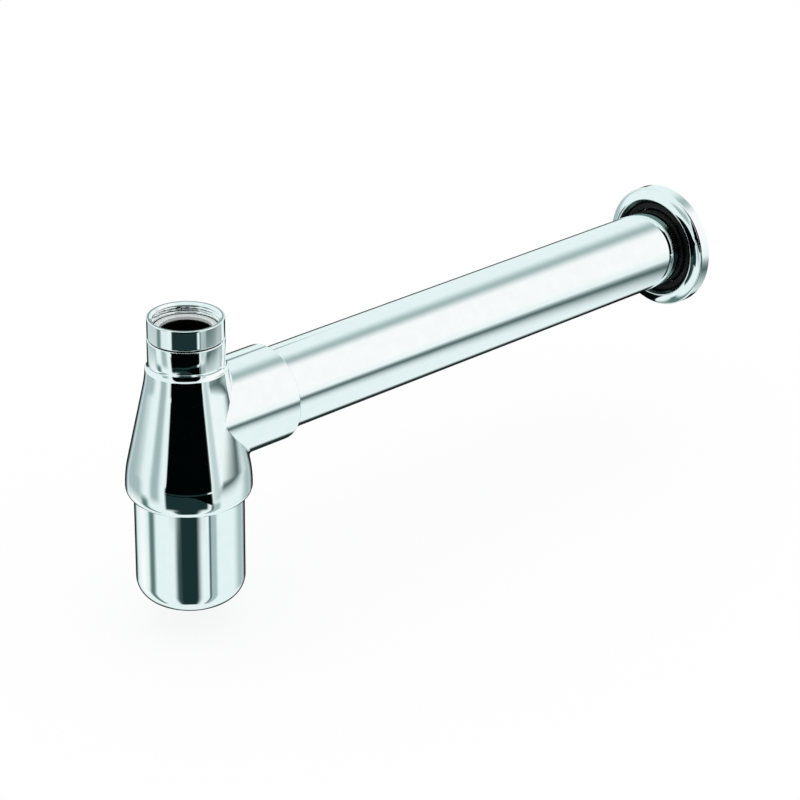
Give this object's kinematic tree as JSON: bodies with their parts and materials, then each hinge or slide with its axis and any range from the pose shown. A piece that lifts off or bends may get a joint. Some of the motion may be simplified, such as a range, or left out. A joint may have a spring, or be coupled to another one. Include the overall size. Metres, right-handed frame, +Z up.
{
  "type": "kitchen sink trap",
  "caption": "Chrome-plated brass bottle trap with a swivelling inlet nut, a bell-shaped body, a screw-off cup, a sliding wall tube and a wall flange.",
  "frame": {"origin": "on the inlet's axis where its thread begins", "axes": "+Z up along the inlet, +Y along the outlet tube towards the wall"},
  "size_m": [0.0634, 0.3591, 0.1408],
  "materials": {
    "chrome": "polished chrome plate on brass",
    "brass": "drawn brass, not plated, dulled dark",
    "rubber": "moulded black rubber"
  },
  "bodies": {
    "trap_body": {"trap_body": "chrome", "dip_tube": "brass", "inlet_washer": "rubber", "outlet_seal": "rubber"},
    "inlet_nut": {"inlet_nut": "chrome"},
    "cup_gasket": {"cup_gasket": "rubber"},
    "bottle_cup": {"bottle_cup": "chrome"},
    "outlet_tube": {"outlet_tube": "chrome"},
    "wall_flange": {"wall_flange": "chrome", "flange_ring": "rubber"}
  },
  "joints": [
    {"name": "nut_swivel", "type": "hinge", "parent": "trap_body", "child": "inlet_nut", "pos_m": [0, 0, 0], "axis": [0, 0, 1], "continuous": true},
    {"name": "cup_travel", "type": "slide", "parent": "trap_body", "child": "cup_gasket", "axis": [0, 0, -1], "range_m": [0, 0.012]},
    {"name": "cup_turn", "type": "hinge", "parent": "cup_gasket", "child": "bottle_cup", "pos_m": [0, 0, 0], "axis": [0, 0, -1], "range_deg": [0, 2160]},
    {"name": "tube_slide", "type": "slide", "parent": "trap_body", "child": "outlet_tube", "axis": [0, 1, 0], "range_m": [0, 0.01]},
    {"name": "flange_slide", "type": "slide", "parent": "outlet_tube", "child": "wall_flange", "axis": [0, 1, 0], "range_m": [-0.26, 0]}
  ],
  "couplings": [
    {"joint": "cup_travel", "follows": "cup_turn", "m_per_rad": 0.00031831}
  ]
}
